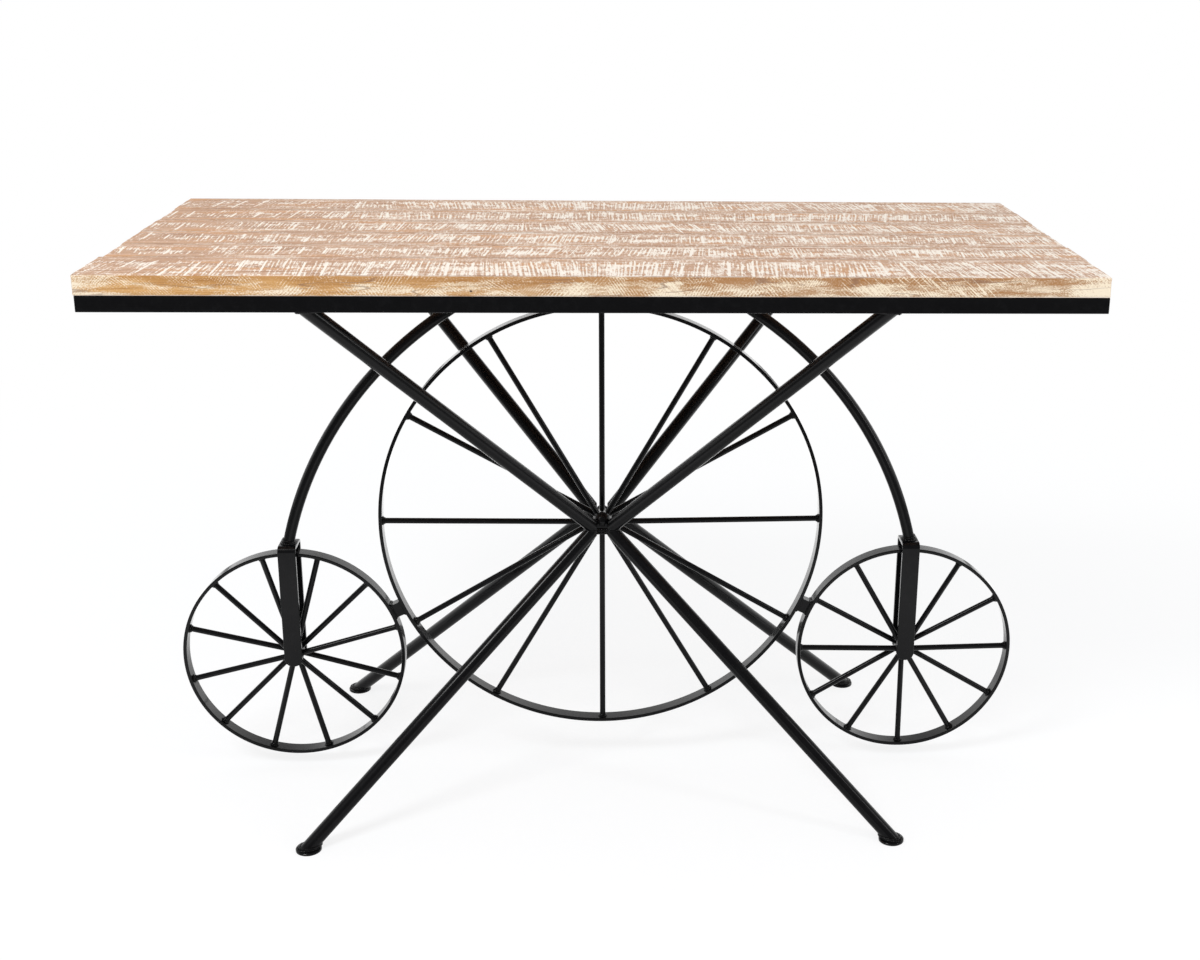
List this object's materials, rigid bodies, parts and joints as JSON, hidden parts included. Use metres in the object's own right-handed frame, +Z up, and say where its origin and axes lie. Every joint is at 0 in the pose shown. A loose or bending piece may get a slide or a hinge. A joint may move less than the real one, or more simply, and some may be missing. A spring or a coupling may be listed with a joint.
{
  "type": "wagon wheel table",
  "caption": "Console table with a rough-sawn board top on crossed black steel tubes around a large spoked wheel, with a small spoked wheel in a fork at each end.",
  "frame": {"origin": "on the floor below the middle of the table", "axes": "+X along the length to the right, +Y to the rear, +Z up"},
  "size_m": [1.22, 0.5526, 0.784],
  "materials": {
    "whitewashed_board": "rough sawn, whitewashed and rubbed back",
    "black_steel": "satin black paint over welded steel",
    "zinc_screw": "zinc plated"
  },
  "bodies": {
    "root": {"big_wheel_hub": "black_steel", "big_wheel_rim": "black_steel", "big_wheel_spokes": "black_steel", "centre_rail": "black_steel", "cross_rail_screws": "zinc_screw", "end_rail_screws": "zinc_screw", "front_left_foot": "black_steel", "front_left_leg": "black_steel", "front_left_strut": "black_steel", "front_rail": "black_steel", "front_right_foot": "black_steel", "front_right_leg": "black_steel", "front_right_strut": "black_steel", "left_bow": "black_steel", "left_cross_rail": "black_steel", "left_end_rail": "black_steel", "left_fork": "black_steel", "left_link": "black_steel", "left_wheel_hub": "black_steel", "left_wheel_rim": "black_steel", "left_wheel_spokes": "black_steel", "rear_left_foot": "black_steel", "rear_left_leg": "black_steel", "rear_left_strut": "black_steel", "rear_rail": "black_steel", "rear_right_foot": "black_steel", "rear_right_leg": "black_steel", "rear_right_strut": "black_steel", "right_bow": "black_steel", "right_cross_rail": "black_steel", "right_end_rail": "black_steel", "right_fork": "black_steel", "right_link": "black_steel", "right_wheel_hub": "black_steel", "right_wheel_rim": "black_steel", "right_wheel_spokes": "black_steel", "top_board_1": "whitewashed_board", "top_board_2": "whitewashed_board", "top_board_3": "whitewashed_board", "top_board_4": "whitewashed_board", "top_board_5": "whitewashed_board", "top_board_6": "whitewashed_board"}
  },
  "joints": []
}
